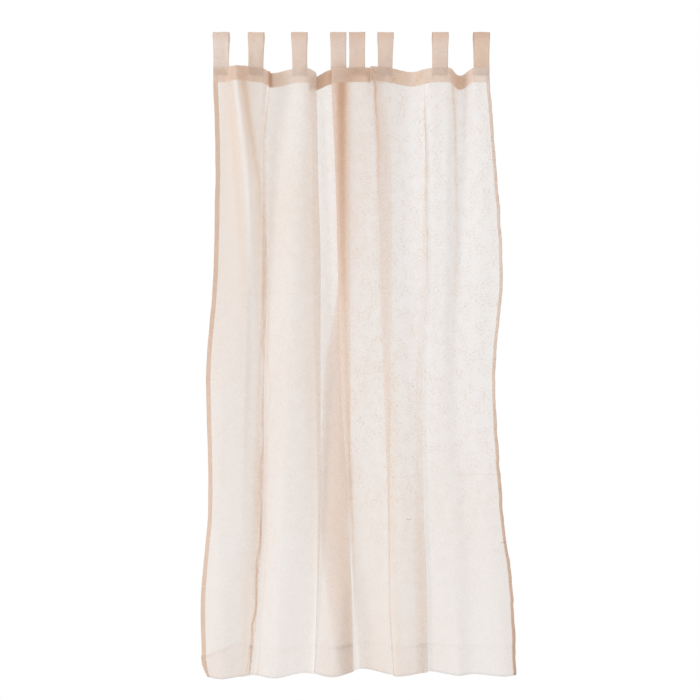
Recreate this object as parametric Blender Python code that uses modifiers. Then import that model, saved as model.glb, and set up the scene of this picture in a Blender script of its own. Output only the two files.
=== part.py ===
"""A sheer curtain with eight cloth loops along its top, as it hangs from a rod.

Metres, +Z up. The origin lies on the rod's axis, at the middle of the hung width, and the front
faces -Y. The curtain is three kinds of cloth piece: the panel with its turned hems, the facing
behind its heading, and the loops, whose ends are sewn between the two.
"""

import math

import bpy
import numpy as np

MM = 0.001

# The flat panel
CLOTH_WIDTH = 1.500
CLOTH_DROP = 2.070
SIDE_HEM = 0.016
BOTTOM_HEM = 0.100
PLY = 0.0005
HEM_PLIES = 3

# The heading and the loops
HEADING_DEPTH = 0.050
TAB_COUNT = 8
TAB_WIDTH = 0.056
TAB_PLY = 0.0008
TAB_TUCK = 0.027
TAB_REACH = 0.103
SEAM_GAP = 0.0003

# The rod that the loops hang on, which is not part of the curtain
ROD_DIAMETER = 0.028
ROD_CLEARANCE = 0.0005
LOOP_GAP = 0.001

# How the cloth is gathered on the rod
HUNG_WIDTH = 0.940
HEADING_SAGS = (0.014, 0.003, 0.026, 0.0, 0.0, 0.004, 0.010)
SAG_FADE = 0.400
CREASE_SOFTNESS = 0.004

# Where each fold line runs: its place across the curtain, in millimetres from the middle of a
# 940 mm gathering, at these depths below the heading of a 2020 mm drop. The cloth is followed
# from left to right, so that it turns back at each line named right and forward again at each
# line named left.
FOLD_LEVELS = (0, 230, 640, 1010, 1420, 1795, 2020)
FOLD_LINES = (
    ("left edge", (-470, -463, -470, -495, -486, -513, -503)),
    ("narrow pleat right", (-278, -293, -287, -298, -302, -319, -344)),
    ("narrow pleat left", (-286, -307, -310, -326, -348, -350, -372)),
    ("left panel right", (-119, -114, -105, -104, -103, -115, -127)),
    ("recess left", (-146, -140, -136, -128, -118, -124, -130)),
    ("recess right", (-8, -10, -12, -12, -10, 4, 9)),
    ("hidden layer left", (-8, -44, -46, -112, -125, -118, -70)),
    ("hidden layer right", (-2, -2, -3, -3, -3, 8, 16)),
    ("middle panel left", (-68, -58, -46, -36, -12, 10, 24)),
    ("middle panel right", (112, 145, 145, 139, 134, 140, 152)),
    ("front panel left", (64, 80, 95, 108, 122, 128, 142)),
    ("front panel right", (249, 255, 261, 242, 249, 262, 264)),
    ("right panel left", (249, 248, 238, 216, 211, 201, 196)),
    ("right edge", (470, 489, 515, 489, 514, 558, 562)),
)

# How far each layer between two fold lines lies in front of the rod, in millimetres: at the
# heading, down the upper half and at the bottom hem, with the mix of the three at each level
LAYERS = (
    (0, 0, 0),
    (-9, -6, -6),
    (-18, -12, -12),
    (-27, -20, -18),
    (-36, -28, -24),
    (-36, -35, -30),
    (-36, -42, -36),
    (-27, -12, -40),
    (-18, 6, -46),
    (-8, 14, -39),
    (2, 22, -32),
    (1, 15, -38),
    (0, 8, -44),
)
LAYER_MIX = (0, 1, 1, 1, 1.45, 1.9, 2)

# The pleats, each as its visible fold line and the hidden one that takes up the slack
PLEATS = ((1, 2), (3, 4), (5, 6), (10, 9), (11, 12))

# The corners between which the cloth lies hidden behind the recess
HIDDEN_PLACES = (10, 13.5)

# The wide waves that all layers share: where each ridge or valley runs across the curtain and how
# far it stands forward, in millimetres, at these depths of the same drop
WAVE_LEVELS = (0, 350, 980, 1600, 2020)
WAVES = (
    ("left edge", (-470, -465, -495, -500, -503), (0, -10, -13, -8, 8)),
    ("first loop", (-425, -428, -430, -440, -440), (0, -8, 5, 20, 50)),
    ("first bulge", (-382, -344, -360, -378, -385), (79, 35, 9, 8, 14)),
    ("second loop left", (-345, -332, -345, -360, -372), (8, 20, -3, -2, 9)),
    ("second loop right", (-302, -318, -325, -338, -358), (-8, -2, -14, -14, 1)),
    ("narrow pleat", (-284, -300, -304, -317, -345), (-44, -30, -26, -22, -4)),
    ("left panel", (-163, -188, -208, -236, -260), (14, 25, 30, 32, 56)),
    ("recess", (-113, -86, -70, -113, -160), (-8, -15, -18, -19, -33)),
    ("recess bulge", (-60, -45, -22, -22, -66), (8, 8, 0, 0, 56)),
    ("middle panel", (30, 22, 30, 36, 36), (20, 8, 4, -22, -50)),
    ("front panel", (115, 138, 152, 158, 158), (-2, -12, 0, 11, 58)),
    ("lower hollow", (206, 206, 228, 260, 270), (-46, -38, -22, -22, -8)),
    ("seventh loop left", (280, 285, 288, 318, 335), (-4, -4, -3, 0, 42)),
    ("seventh loop right", (330, 318, 312, 350, 366), (-2, 0, 0, 4, 66)),
    ("right hollow", (378, 378, 354, 404, 417), (-68, -45, -13, -8, 36)),
    ("eighth loop", (422, 440, 438, 488, 522), (-3, -5, 4, 11, 80)),
    ("right edge", (470, 500, 490, 540, 562), (-5, -15, 0, 0, 50)),
)

# How finely the cloth is faceted and its folds are worked out
COLUMN_STEP = 0.022
HIDDEN_COLUMN_STEP = 0.040
LEAST_COLUMN = 0.0016
ROW_STEP = 0.175
ROUND_STEPS = 10
LEG_STEPS = 3
LINE_STEP = 0.0015
DEEPEST_SHARE = 3.0
SHARE_STEPS = 18
TINY = 1e-9


def monotone(places, values, at):
    """Read a cubic through the points that never overshoots them."""
    places = np.asarray(places, float)
    values = np.asarray(values, float)
    at = np.clip(at, places[0], places[-1])
    run = np.diff(places)
    slope = np.diff(values) / run
    tangent = np.zeros(len(values))
    tangent[0] = slope[0]
    tangent[-1] = slope[-1]
    for i in range(1, len(values) - 1):
        if slope[i - 1] * slope[i] > 0:
            before = 2 * run[i] + run[i - 1]
            after = run[i] + 2 * run[i - 1]
            tangent[i] = (before + after) / (before / slope[i - 1] + after / slope[i])
    k = np.clip(np.searchsorted(places, at, side="right") - 1, 0, len(run) - 1)
    t = (at - places[k]) / run[k]
    start = values[k] * (1 + 2 * t) + tangent[k] * run[k] * t
    end = values[k + 1] * (3 - 2 * t) - tangent[k + 1] * run[k] * (1 - t)
    return start * (1 - t) ** 2 + end * t ** 2


def softened(points, step, radius):
    """Round the corners of an evenly spaced line with a bell-shaped average."""
    reach = int(3 * radius / step) + 1
    bell = np.exp(-0.5 * (np.arange(-reach, reach + 1) * step / radius) ** 2)
    bell /= bell.sum()
    columns = []
    for values in points.T:
        before = 2 * values[0] - values[reach:0:-1]
        after = 2 * values[-1] - values[-2:-reach - 2:-1]
        columns.append(np.convolve(np.concatenate([before, values, after]), bell, "valid"))
    return np.array(columns).T


def lengths_along(points):
    """Give the distance of each point along its line."""
    return np.concatenate([[0], np.cumsum(np.hypot(*np.diff(points, axis=0).T))])


class Plan:
    """The line of the cloth seen from above at one height below the heading.

    Each point has its fold place: whole numbers are the corners of the folds, counted from the
    left edge, so that the same fold place follows the same fold down the curtain.
    """

    def __init__(self, below, depth_share):
        drawn = FOLD_LINES[-1][1][0] - FOLD_LINES[0][1][0]
        spread = HUNG_WIDTH / (drawn * MM)
        level = FOLD_LEVELS[-1] * below / (CLOTH_DROP - HEADING_DEPTH)
        across = [monotone(FOLD_LEVELS, line[1], level) * spread for line in FOLD_LINES]
        for visible, hidden in PLEATS:
            across[hidden] = across[visible] + (across[hidden] - across[visible]) * depth_share
        mix = monotone(FOLD_LEVELS, LAYER_MIX, level)
        layers = [np.interp(mix, (0, 1, 2), layer) * spread for layer in LAYERS]
        corners = [(across[0], layers[0])]
        for i in range(1, len(layers)):
            corners.append((across[i], layers[i - 1]))
            corners.append((across[i], layers[i]))
        corners.append((across[-1], layers[-1]))
        corners = np.array(corners) * MM
        steps = [max(int(run / LINE_STEP), 2) for run in np.hypot(*np.diff(corners, axis=0).T)]
        samples = np.concatenate([i + np.arange(n) / n for i, n in enumerate(steps)] + [[len(steps)]])
        x = np.interp(samples, np.arange(len(corners)), corners[:, 0])
        forward = np.interp(samples, np.arange(len(corners)), corners[:, 1])
        ridges = [monotone(WAVE_LEVELS, wave[1], level) * spread * MM for wave in WAVES]
        heights = [monotone(WAVE_LEVELS, wave[2], level) * depth_share * spread * MM for wave in WAVES]
        forward = forward + monotone(ridges, heights, x)
        along = lengths_along(np.array([x, forward]).T)
        turns = along[np.cumsum([0] + steps)] + np.arange(len(corners)) * TINY
        even = np.linspace(0, along[-1], int(along[-1] / LINE_STEP) + 1)
        line = np.array([np.interp(even, along, x), np.interp(even, along, forward)]).T
        self.line = softened(line, even[1], CREASE_SOFTNESS)
        self.places = np.interp(even, turns, np.arange(len(corners)))
        self.along = lengths_along(self.line)
        self.length = self.along[-1]
        self.count = len(corners)

    def at(self, along):
        """Give the place across, the place in depth and the unit normal that points back."""
        x = np.interp(along, self.along, self.line[:, 0])
        y = -np.interp(along, self.along, self.line[:, 1])
        ahead = np.clip(along + 2 * LINE_STEP, 0, self.length)
        behind = np.clip(along - 2 * LINE_STEP, 0, self.length)
        ends = [np.interp(value, self.along, axis) for axis in self.line.T for value in (behind, ahead)]
        run_x = ends[1] - ends[0]
        run_y = ends[2] - ends[3]
        size = np.hypot(run_x, run_y)
        return x, y, -run_y / size, run_x / size


def hung_plan(below):
    """Find the depth of folds that uses up the flat width at this height."""
    low = 0.0
    high = DEEPEST_SHARE
    for _ in range(SHARE_STEPS):
        share = (low + high) / 2
        if Plan(below, share).length < CLOTH_WIDTH:
            low = share
        else:
            high = share
    return Plan(below, share)


def tab_centres():
    """Give the place of each loop along the flat top edge."""
    pitch = (CLOTH_WIDTH - TAB_WIDTH) / (TAB_COUNT - 1)
    return [TAB_WIDTH / 2 + i * pitch for i in range(TAB_COUNT)]


def sag_at(along, depth):
    """Give how far the cloth sags between two loops, less and less down the panel."""
    fade = max(1 - depth / SAG_FADE, 0)
    centres = tab_centres()
    for i, sag in enumerate(HEADING_SAGS[:TAB_COUNT - 1]):
        start = centres[i] + TAB_WIDTH / 2
        end = centres[i + 1] - TAB_WIDTH / 2
        if start < along < end:
            return fade * sag * math.sin(math.pi * (along - start) / (end - start)) ** 2
    return 0.0


def columns_along(places, plan):
    """Turn fold places into lengths along this row's cloth.

    The side hems keep their own width, and columns that the folds would bring together stay a
    little apart.
    """
    along = np.interp(places, plan.places, plan.along)
    hem = [0.0, SIDE_HEM, SIDE_HEM + HEM_PLIES * PLY]
    along[:3] = hem
    for i in range(3, len(along)):
        along[i] = max(along[i], along[i - 1] + LEAST_COLUMN)
    along[:-4:-1] = [plan.length - value for value in hem]
    for i in range(len(along) - 4, 2, -1):
        along[i] = min(along[i], along[i + 1] - LEAST_COLUMN)
    return along


def row_depths():
    """Give how far below the top edge each row of the panel lies."""
    hem = CLOTH_DROP - BOTTOM_HEM
    open_rows = max(int(round((hem - HEADING_DEPTH) / ROW_STEP)), 2)
    rows = [0.0, TAB_TUCK, HEADING_DEPTH]
    for i in range(1, open_rows):
        rows.append(HEADING_DEPTH + (hem - HEADING_DEPTH) * i / open_rows)
    return rows + [hem - HEM_PLIES * PLY, hem, CLOTH_DROP]


def column_places(top):
    """Choose the columns by fold place: loops, hems and corners, and enough between them."""
    wanted = [0.0, SIDE_HEM, SIDE_HEM + HEM_PLIES * PLY]
    wanted += [CLOTH_WIDTH - value for value in wanted]
    for centre in tab_centres():
        wanted += [centre - TAB_WIDTH / 2, centre, centre + TAB_WIDTH / 2]
    for corner in range(1, top.count - 1):
        wanted.append(float(np.interp(corner, top.places, top.along)))
    places = sorted(float(np.interp(value, top.along, top.places)) for value in wanted)
    kept = [places[0]]
    for place in places[1:]:
        if place - kept[-1] > TINY:
            kept.append(place)
    drop = CLOTH_DROP - HEADING_DEPTH
    lower = [hung_plan(drop * level / FOLD_LEVELS[-1]) for level in FOLD_LEVELS[::2]]
    filled = [kept[0]]
    for place in kept[1:]:
        gaps = [np.ptp(np.interp([filled[-1], place], plan.places, plan.along)) for plan in lower]
        hidden = HIDDEN_PLACES[0] < place < HIDDEN_PLACES[1]
        step = HIDDEN_COLUMN_STEP if hidden else COLUMN_STEP
        parts = max(int(math.ceil(max(gaps) / step)), 1)
        first = filled[-1]
        filled += [first + (place - first) * (k + 1) / parts for k in range(parts)]
    return np.array(filled)


def sheet_object(name, columns, rows):
    """Add a flat grid with the given number of columns and rows of corners."""
    bpy.ops.mesh.primitive_grid_add(x_subdivisions=columns - 1, y_subdivisions=rows - 1, size=1)
    sheet = bpy.context.active_object
    sheet.name = name
    sheet.data.name = name
    return sheet


def shape_sheet(sheet, corners):
    """Move the grid's corners to their hung places, row by row from the lowest."""
    flat = [corner for row in corners for corner in row]
    for vertex, place in zip(sheet.data.vertices, flat):
        vertex.co = place
    sheet.data.shade_smooth()


def row_corners(plan, along, depth, back):
    """Give the corners of one row, set back by this much from the panel's face."""
    x, y, back_x, back_y = plan.at(along)
    return [
        (x[i] + back * back_x[i], y[i] + back * back_y[i], -TAB_REACH - depth - sag_at(value, depth))
        for i, value in enumerate(along)
    ]


def thicken(sheet, thickness):
    """Give the sheet its cloth's thickness behind its face."""
    solid = sheet.modifiers.new("cloth", "SOLIDIFY")
    solid.thickness = thickness
    solid.offset = -1
    return solid


def cloth_material(name, colour, roughness):
    """Make a plain woven material."""
    material = bpy.data.materials.new(name)
    material.use_nodes = True
    shader = material.node_tree.nodes["Principled BSDF"]
    shader.inputs["Base Color"].default_value = (*colour, 1)
    shader.inputs["Roughness"].default_value = roughness
    shader.inputs["Metallic"].default_value = 0
    return material


def build_panel(places, depths, material):
    """Hang the panel from its flat grid and thicken its turned hems."""
    panel = sheet_object("curtain_panel", len(places), len(depths))
    rows = []
    weights = []
    for depth in reversed(depths):
        plan = hung_plan(max(depth - HEADING_DEPTH, 0))
        along = columns_along(places, plan)
        rows.append(row_corners(plan, along, depth, 0))
        in_bottom = depth > CLOTH_DROP - BOTTOM_HEM - HEM_PLIES * PLY / 2
        below_heading = depth > HEADING_DEPTH + PLY
        for i in range(len(places)):
            in_side = i < 2 or i > len(places) - 3
            weights.append(1.0 if in_bottom or (in_side and below_heading) else 0.0)
    shape_sheet(panel, rows)
    group = panel.vertex_groups.new(name="hems")
    for index, weight in enumerate(weights):
        if weight:
            group.add([index], weight, "REPLACE")
    solid = thicken(panel, HEM_PLIES * PLY)
    solid.vertex_group = group.name
    solid.thickness_vertex_group = 1 / HEM_PLIES
    panel.data.materials.append(material)
    return panel


def build_facing(top, along, material):
    """Lay the facing behind the loops' ends, along the whole heading."""
    facing = sheet_object("heading_band", len(along), 3)
    set_back = PLY + 2 * TAB_PLY + 3 * SEAM_GAP
    depths = (HEADING_DEPTH, TAB_TUCK, 0)
    shape_sheet(facing, [row_corners(top, along, depth, set_back) for depth in depths])
    thicken(facing, PLY)
    facing.data.materials.append(material)
    return facing


def rod_places(top):
    """Slide the loops along the rod until neighbours no longer overlap."""
    places = [float(top.at(np.array([centre]))[0][0]) for centre in tab_centres()]
    least = TAB_WIDTH + LOOP_GAP
    for _ in range(TAB_COUNT):
        for i in range(TAB_COUNT - 1):
            short = least - (places[i + 1] - places[i])
            if short > 0:
                places[i] -= short / 2
                places[i + 1] += short / 2
    return places


def loop_rows(front_foot, front_edge, back_edge, back_foot, centre):
    """Give the rows of a loop from its front end, over the rod, to its back end."""
    radius = ROD_DIAMETER / 2 + ROD_CLEARANCE + TAB_PLY
    count = len(front_edge)
    mean_y = sum(corner[1] for corner in front_edge + back_edge) / (2 * count)
    lean = math.atan2(-mean_y, TAB_REACH)
    opening = math.acos(radius / math.hypot(mean_y, TAB_REACH))
    start = lean + opening
    end = 2 * math.pi + lean - opening
    offsets = [TAB_WIDTH * (k / (count - 1) - 0.5) for k in range(count)]
    round_rows = []
    for step in range(ROUND_STEPS + 1):
        angle = start + (end - start) * step / ROUND_STEPS
        y = -radius * math.sin(angle)
        z = -radius * math.cos(angle)
        round_rows.append([(centre + offset, y, z) for offset in offsets])
    shares = [step / LEG_STEPS for step in range(1, LEG_STEPS)]
    front_leg = [between(front_edge, round_rows[0], share) for share in shares]
    back_leg = [between(round_rows[-1], back_edge, share) for share in shares]
    return [front_foot, front_edge] + front_leg + round_rows + back_leg + [back_edge, back_foot]


def between(first, second, share):
    """Give the corners a share of the way from one row to another."""
    return [tuple(a + (b - a) * share for a, b in zip(p, q)) for p, q in zip(first, second)]


def build_loop(name, top, along, centre, material):
    """Sew one loop's ends between the panel and the facing and lead it over the rod."""
    front = PLY + SEAM_GAP
    back = PLY + 2 * SEAM_GAP + 2 * TAB_PLY
    front_foot = row_corners(top, along, TAB_TUCK, front)
    front_edge = row_corners(top, along, 0, front)
    back_edge = row_corners(top, along, 0, back)
    back_foot = row_corners(top, along, TAB_TUCK, back)
    rows = loop_rows(front_foot, front_edge, back_edge, back_foot, centre)
    loop = sheet_object(name, len(along), len(rows))
    shape_sheet(loop, rows)
    thicken(loop, TAB_PLY)
    loop.data.materials.append(material)
    return loop


def main():
    for old in list(bpy.data.objects):
        bpy.data.objects.remove(old, do_unlink=True)
    collection = bpy.data.collections.new("chiffon_curtain")
    bpy.context.scene.collection.children.link(collection)

    sheer = cloth_material("sheer_cloth", (0.84, 0.78, 0.72), 0.8)
    dense = cloth_material("heading_cloth", (0.72, 0.60, 0.50), 0.8)
    tape = cloth_material("loop_cloth", (0.70, 0.57, 0.46), 0.8)

    top = hung_plan(0)
    places = column_places(top)
    along = columns_along(places, top)

    pieces = [build_panel(places, row_depths(), sheer), build_facing(top, along, dense)]
    reach = TAB_WIDTH / 2 + LEAST_COLUMN / 2
    for i, (sewn, hung) in enumerate(zip(tab_centres(), rod_places(top))):
        inside = along[(along > sewn - reach) & (along < sewn + reach)]
        pieces.append(build_loop(f"tab_loop_{i + 1}", top, inside, hung, tape))

    for piece in pieces:
        for owner in list(piece.users_collection):
            owner.objects.unlink(piece)
        collection.objects.link(piece)


main()
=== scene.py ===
import math
from functools import partial

import bmesh
import bpy
import numpy as np
from bpy.props import FloatProperty, FloatVectorProperty, IntProperty, PointerProperty
from mathutils import Matrix, Vector, noise


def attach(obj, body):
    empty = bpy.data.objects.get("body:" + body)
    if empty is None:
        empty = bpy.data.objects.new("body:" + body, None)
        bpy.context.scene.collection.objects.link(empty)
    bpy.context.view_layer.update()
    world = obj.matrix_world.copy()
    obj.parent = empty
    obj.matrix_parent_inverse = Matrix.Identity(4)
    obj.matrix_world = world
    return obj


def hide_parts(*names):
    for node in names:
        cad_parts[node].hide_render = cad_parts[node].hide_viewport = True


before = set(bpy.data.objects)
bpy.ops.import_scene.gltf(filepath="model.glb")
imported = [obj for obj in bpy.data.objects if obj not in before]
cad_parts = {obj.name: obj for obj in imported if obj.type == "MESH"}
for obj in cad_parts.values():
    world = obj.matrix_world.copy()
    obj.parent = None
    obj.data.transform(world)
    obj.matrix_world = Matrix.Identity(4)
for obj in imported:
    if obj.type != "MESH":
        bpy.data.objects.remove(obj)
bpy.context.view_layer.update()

bl_info = {
    "name": "Sheer loop-top curtain",
    "version": (1, 0, 0),
    "blender": (4, 5, 0),
    "location": "3D View > Sidebar > Curtain",
    "description": "Hangs a sheer curtain in its gathers, with its facing, loops, seams and a studio stage",
    "category": "Add Mesh",
}

MM = 0.001

# Where each fold line runs: its place across the curtain, in millimetres from the middle of a
# 940 mm gathering, at these depths below the heading of a 2020 mm drop. The cloth is followed
# from left to right, so that it turns back at each line named right and forward again at each
# line named left.
FOLD_LEVELS = (0, 230, 640, 1010, 1420, 1795, 2020)
FOLD_LINES = (
    ("left edge", (-470, -463, -470, -495, -486, -513, -503)),
    ("narrow pleat right", (-278, -293, -287, -298, -302, -319, -344)),
    ("narrow pleat left", (-286, -307, -310, -326, -348, -350, -372)),
    ("left panel right", (-119, -114, -105, -104, -103, -115, -127)),
    ("recess left", (-146, -140, -136, -128, -118, -124, -130)),
    ("recess right", (-8, -10, -12, -12, -10, 4, 9)),
    ("hidden layer left", (-8, -44, -46, -112, -125, -118, -70)),
    ("hidden layer right", (-2, -2, -3, -3, -3, 8, 16)),
    ("middle panel left", (-68, -58, -46, -36, -12, 10, 24)),
    ("middle panel right", (112, 145, 145, 139, 134, 140, 152)),
    ("front panel left", (64, 80, 95, 108, 122, 128, 142)),
    ("front panel right", (249, 255, 261, 242, 249, 262, 264)),
    ("right panel left", (249, 248, 238, 216, 211, 201, 196)),
    ("right edge", (470, 489, 515, 489, 514, 558, 562)),
)
DRAWN_WIDTH = FOLD_LINES[-1][1][0] - FOLD_LINES[0][1][0]

# How far each layer between two fold lines lies in front of the rod, in millimetres: at the
# heading, down the upper half and at the bottom hem, with the mix of the three at each level
LAYERS = (
    (0, 0, 0),
    (-9, -6, -6),
    (-18, -12, -12),
    (-27, -20, -18),
    (-36, -28, -24),
    (-36, -35, -30),
    (-36, -42, -36),
    (-27, -12, -40),
    (-18, 6, -46),
    (-8, 14, -39),
    (2, 22, -32),
    (1, 15, -38),
    (0, 8, -44),
)
LAYER_MIX = (0, 1, 1, 1, 1.45, 1.9, 2)

# The pleats, each as its visible fold line and the hidden one that takes up the slack
PLEATS = ((1, 2), (3, 4), (5, 6), (10, 9), (11, 12))

# The wide waves that all layers share: where each ridge or valley runs across the curtain and how
# far it stands forward, in millimetres, at these depths of the same drop
WAVE_LEVELS = (0, 350, 980, 1600, 2020)
WAVES = (
    ("left edge", (-470, -465, -495, -500, -503), (0, -10, -13, -8, 8)),
    ("first loop", (-425, -428, -430, -440, -440), (0, -8, 5, 20, 50)),
    ("first bulge", (-382, -344, -360, -378, -385), (79, 35, 9, 8, 14)),
    ("second loop left", (-345, -332, -345, -360, -372), (8, 20, -3, -2, 9)),
    ("second loop right", (-302, -318, -325, -338, -358), (-8, -2, -14, -14, 1)),
    ("narrow pleat", (-284, -300, -304, -317, -345), (-44, -30, -26, -22, -4)),
    ("left panel", (-163, -188, -208, -236, -260), (14, 25, 30, 32, 56)),
    ("recess", (-113, -86, -70, -113, -160), (-8, -15, -18, -19, -33)),
    ("recess bulge", (-60, -45, -22, -22, -66), (8, 8, 0, 0, 56)),
    ("middle panel", (30, 22, 30, 36, 36), (20, 8, 4, -22, -50)),
    ("front panel", (115, 138, 152, 158, 158), (-2, -12, 0, 11, 58)),
    ("lower hollow", (206, 206, 228, 260, 270), (-46, -38, -22, -22, -8)),
    ("seventh loop left", (280, 285, 288, 318, 335), (-4, -4, -3, 0, 42)),
    ("seventh loop right", (330, 318, 312, 350, 366), (-2, 0, 0, 4, 66)),
    ("right hollow", (378, 378, 354, 404, 417), (-68, -45, -13, -8, 36)),
    ("eighth loop", (422, 440, 438, 488, 522), (-3, -5, 4, 11, 80)),
    ("right edge", (470, 500, 490, 540, 562), (-5, -15, 0, 0, 50)),
)

# How far the top edge sags between each pair of loops, in metres
HEADING_SAGS = (0.014, 0.003, 0.026, 0.0, 0.0, 0.004, 0.010)

# Creases left from folding for the shelf, raised in the cloth: depth below the top edge, the
# stretch across that each one runs over, how much its far end drops, and its height, in
# millimetres
CREASES = (
    (372, -290, -170, 6, 0.9),
    (376, -185, -20, -8, 0.7),
    (366, 140, 275, -6, 0.8),
    (364, 350, 385, -4, 0.9),
    (368, 460, 500, 5, 0.9),
    (771, -300, -120, 4, 0.5),
    (771, 160, 330, -4, 0.5),
    (1384, -486, -365, 4, 0.9),
    (1392, -310, -105, -14, 0.9),
    (1390, 215, 330, 3, 0.5),
)

# Where the same creases show as fine lines in the weave, in metres below the top edge
SHELF_CREASES = (0.372, 0.771, 1.388)

# How warm the cloth looks, partly as stacked layers look and partly as painted shade: the fold places
# that each panel lies between, and its tone at these depths of the same drop. Tone 0 is the sheer
# cloth's own colour and 1 is warm.
TONE_LEVELS = (0, 500, 1000, 1500, 2020)
PANEL_TONES = (
    ("first panel", (0, 1.5), (0.55, 0.58, 0.45, 0.36, 0.38)),
    ("left panel", (3.5, 5.5), (0.3, 0.45, 0.42, 0.36, 0.36)),
    ("recess", (7.5, 9.5), (0.42, 0.3, 0.34, 0.44, 0.46)),
    ("middle panel", (15.5, 17.5), (0.36, 0.38, 0.38, 0.5, 0.6)),
    ("front panel", (19.5, 21.5), (0.1, 0.02, 0.2, 0.42, 0.52)),
    ("right panel", (23.5, 25), (0, -0.05, 0.05, 0.24, 0.2)),
)
# The layers hidden behind the panels are painted warmer, as shade
HIDDEN_SHADE_TONE = 0.34

# The warm bands along the folds, with painted shade in the hollows and the recesses, painted
# highlights on the pale ridges and the fine warm lines: the fold places that each one lies between,
# where its middle runs across the curtain and how far it fades to each side, in millimetres, and its
# tone at those depths
WARM_SHADE_AND_HIGHLIGHT_BANDS = (
    ("first hollow", (0, 1.5), (-424, -376, -350, -350, -350), 13, (0.4, 0.25, 0, 0, 0)),
    ("first ridge", (0, 1.5), (-388, -345, -335, -335, -350), 9, (-0.6, -0.4, -0.2, 0, 0)),
    ("first shadow", (0, 1.5), (-362, -302, -292, -292, -320), 12, (0.9, 0.55, 0.2, 0, 0)),
    ("narrow pleat", (0, 5), (-282, -300, -310, -328, -362), 26, (0.1, 0.18, 0.32, 0.42, 0.55)),
    ("orange line", (0, 3), (-284, -296, -300, -312, -346), 4, (0, 0.25, 0.7, 0.95, 1.2)),
    ("second orange line", (0, 4), (-290, -290, -294, -308, -338), 3, (0, 0.2, 0.5, 0.7, 0.9)),
    ("thin line beside it", (0, 5), (-300, -284, -283, -290, -322), 3, (0, 0.2, 0.4, 0.5, 0.5)),
    ("left panel's right edge", (3.5, 5.5),
     (-140, -135, -135, -130, -150), 30, (0.3, 0.28, 0.3, 0.26, 0.22)),
    ("deep recess", (9.5, 17), (-32, -32, -28, -20, 4), 20, (1.75, 0.95, 0.12, 0.05, 0)),
    ("lower recess", (7.5, 9.5), (-36, -36, -36, -30, -10), 26, (0, 0, 0.15, 0.28, 0.1)),
    ("roll's edge", (15, 17.5), (-26, -26, -14, 2, 12), 7, (0, 0.2, 0.6, 1.3, 1.1)),
    ("roll", (15, 21.5), (68, 88, 97, 110, 146), 5, (-0.6, -0.3, 0, 0, 0)),
    ("roll's line", (15, 21.5), (80, 99, 110, 120, 150), 4, (1.6, 0.3, 0, 0, 0)),
    ("front panel's left side", (19.5, 21.5), (134, 126, 128, 134, 160), 22, (0, 0.2, 0.3, 0.4, 0.35)),
    ("front panel's right edge", (19.5, 21.5),
     (236, 246, 230, 236, 250), 34, (0.02, 0.05, 0.12, 0.2, 0.26)),
    ("front panel's right line", (19.5, 25), (249, 259, 242, 249, 264), 4, (0.8, 0.35, 0, 0, 0)),
    ("right hollow's line", (23.5, 25), (350, 360, 345, 345, 345), 5, (0.8, 0.3, 0.05, 0, 0)),
    ("right hollow", (23.5, 25), (352, 364, 350, 350, 350), 10, (0.45, 0.25, 0.05, 0, 0)),
)

# The same in the heading, where the cloth is doubled: warm bands with painted shade in its valleys, hollows
# and recess, and two paler places
HEADING_TONE = 0.85
HEADING_WARMTH_AND_SHADE_BANDS = (
    ("first valley", (0, 1.5), (-372, 60), 0.3),
    ("narrow pleat", (0, 5), (-280, 6), 1.3),
    ("left panel", (3.5, 5.5), (-190, 60), -0.2),
    ("recess", (5.5, 15.5), (-90, 70), 0.9),
    ("behind the front layer", (15.5, 17.5), (8, 50), 0.65),
    ("roll", (15.5, 21.5), (70, 7), 0.4),
    ("front panel", (19.5, 21.5), (130, 60), 0.25),
    ("last hollow", (23.5, 25), (370, 24), 0.5),
    ("last loop", (23.5, 25), (440, 50), -0.45),
)

# How much warmer each loop is than the rest, from the left
LOOP_TONES = (-0.25, 0, 0.05, -0.1, 0.15, 0.05, 0.1, 0.35)

# The recess has nothing behind it, and its upper part is painted lighter than its shade by showing
# less than a ply: its fold places, and the share of a ply that it shows
RECESS = (7.5, 9.5)
RECESS_PAINTED_LIGHT_PLIES = (0.65, 0.65, 1, 1, 1)

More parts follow.
